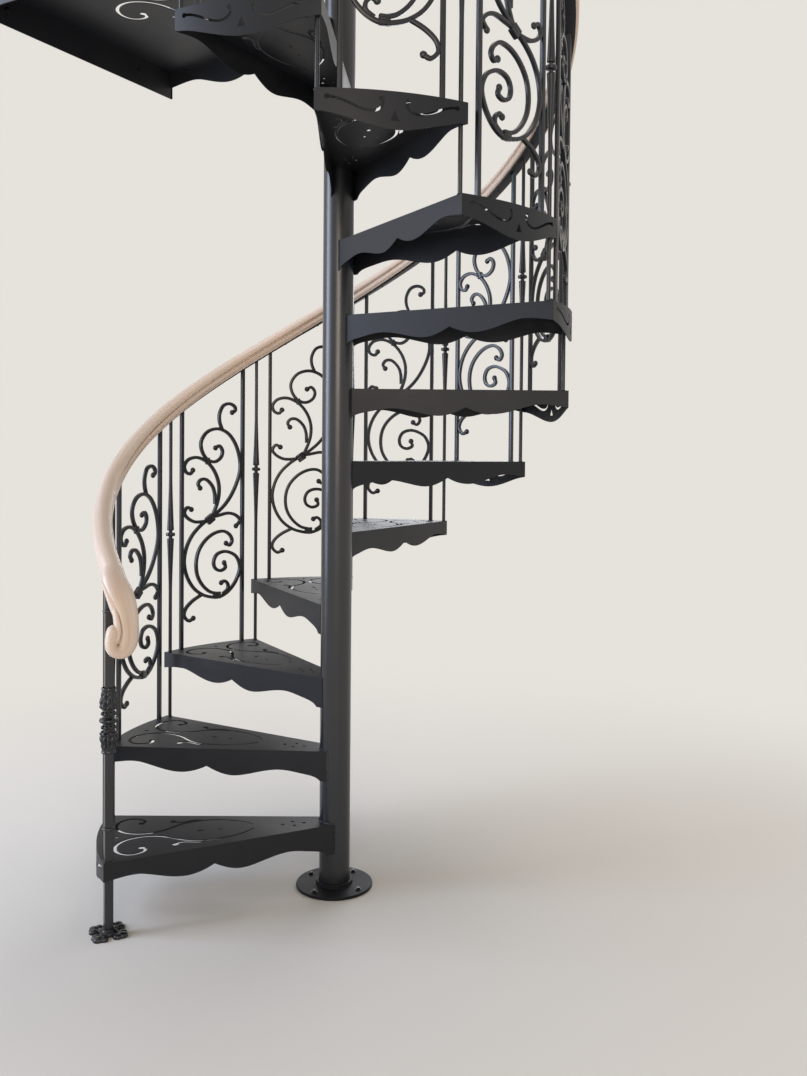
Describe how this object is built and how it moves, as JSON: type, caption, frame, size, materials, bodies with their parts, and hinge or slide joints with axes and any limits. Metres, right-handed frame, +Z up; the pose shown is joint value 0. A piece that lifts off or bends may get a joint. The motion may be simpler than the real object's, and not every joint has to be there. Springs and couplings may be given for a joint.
{
  "type": "spiral staircase",
  "caption": "Spiral staircase of sector treads round a central column, with scrollwork balusters and a wooden handrail ending in a volute.",
  "frame": {"origin": "centre of the column at the floor, on the underside of the base flange", "axes": "+Z up the column; -Y along the landing's edge where the last tread arrives, -X along its guarded edge; the first tread is at the front left"},
  "size_m": [1.56, 1.56, 3.8765],
  "materials": {
    "structure_steel": "black satin powder coat",
    "balustrade_steel": "black satin powder coat on forged bars",
    "cast_ornament": "black painted casting",
    "handrail_wood": "smooth sanded pale hardwood, lightly sealed"
  },
  "bodies": {
    "root": {"baluster_02": "balustrade_steel", "baluster_03": "balustrade_steel", "baluster_04": "balustrade_steel", "baluster_05": "balustrade_steel", "baluster_06": "balustrade_steel", "baluster_07": "balustrade_steel", "baluster_08": "balustrade_steel", "baluster_09": "balustrade_steel", "baluster_10": "balustrade_steel", "baluster_11": "balustrade_steel", "baluster_12": "balustrade_steel", "base_flange": "structure_steel", "column": "structure_steel", "column_cap": "structure_steel", "handrail": "handrail_wood", "handrail_volute": "handrail_wood", "landing": "structure_steel", "landing_balusters": "balustrade_steel", "landing_panel": "balustrade_steel", "landing_post": "structure_steel", "landing_rail": "handrail_wood", "landing_rail_strip": "structure_steel", "newel_casting": "cast_ornament", "newel_foot": "cast_ornament", "newel_post": "structure_steel", "rail_strip": "structure_steel", "scroll_panel_01": "balustrade_steel", "scroll_panel_02": "balustrade_steel", "scroll_panel_03": "balustrade_steel", "scroll_panel_04": "balustrade_steel", "scroll_panel_05": "balustrade_steel", "scroll_panel_06": "balustrade_steel", "scroll_panel_07": "balustrade_steel", "scroll_panel_08": "balustrade_steel", "scroll_panel_09": "balustrade_steel", "scroll_panel_10": "balustrade_steel", "scroll_panel_11": "balustrade_steel", "tread_01": "structure_steel", "tread_02": "structure_steel", "tread_03": "structure_steel", "tread_04": "structure_steel", "tread_05": "structure_steel", "tread_06": "structure_steel", "tread_07": "structure_steel", "tread_08": "structure_steel", "tread_09": "structure_steel", "tread_10": "structure_steel", "tread_11": "structure_steel"}
  },
  "joints": []
}
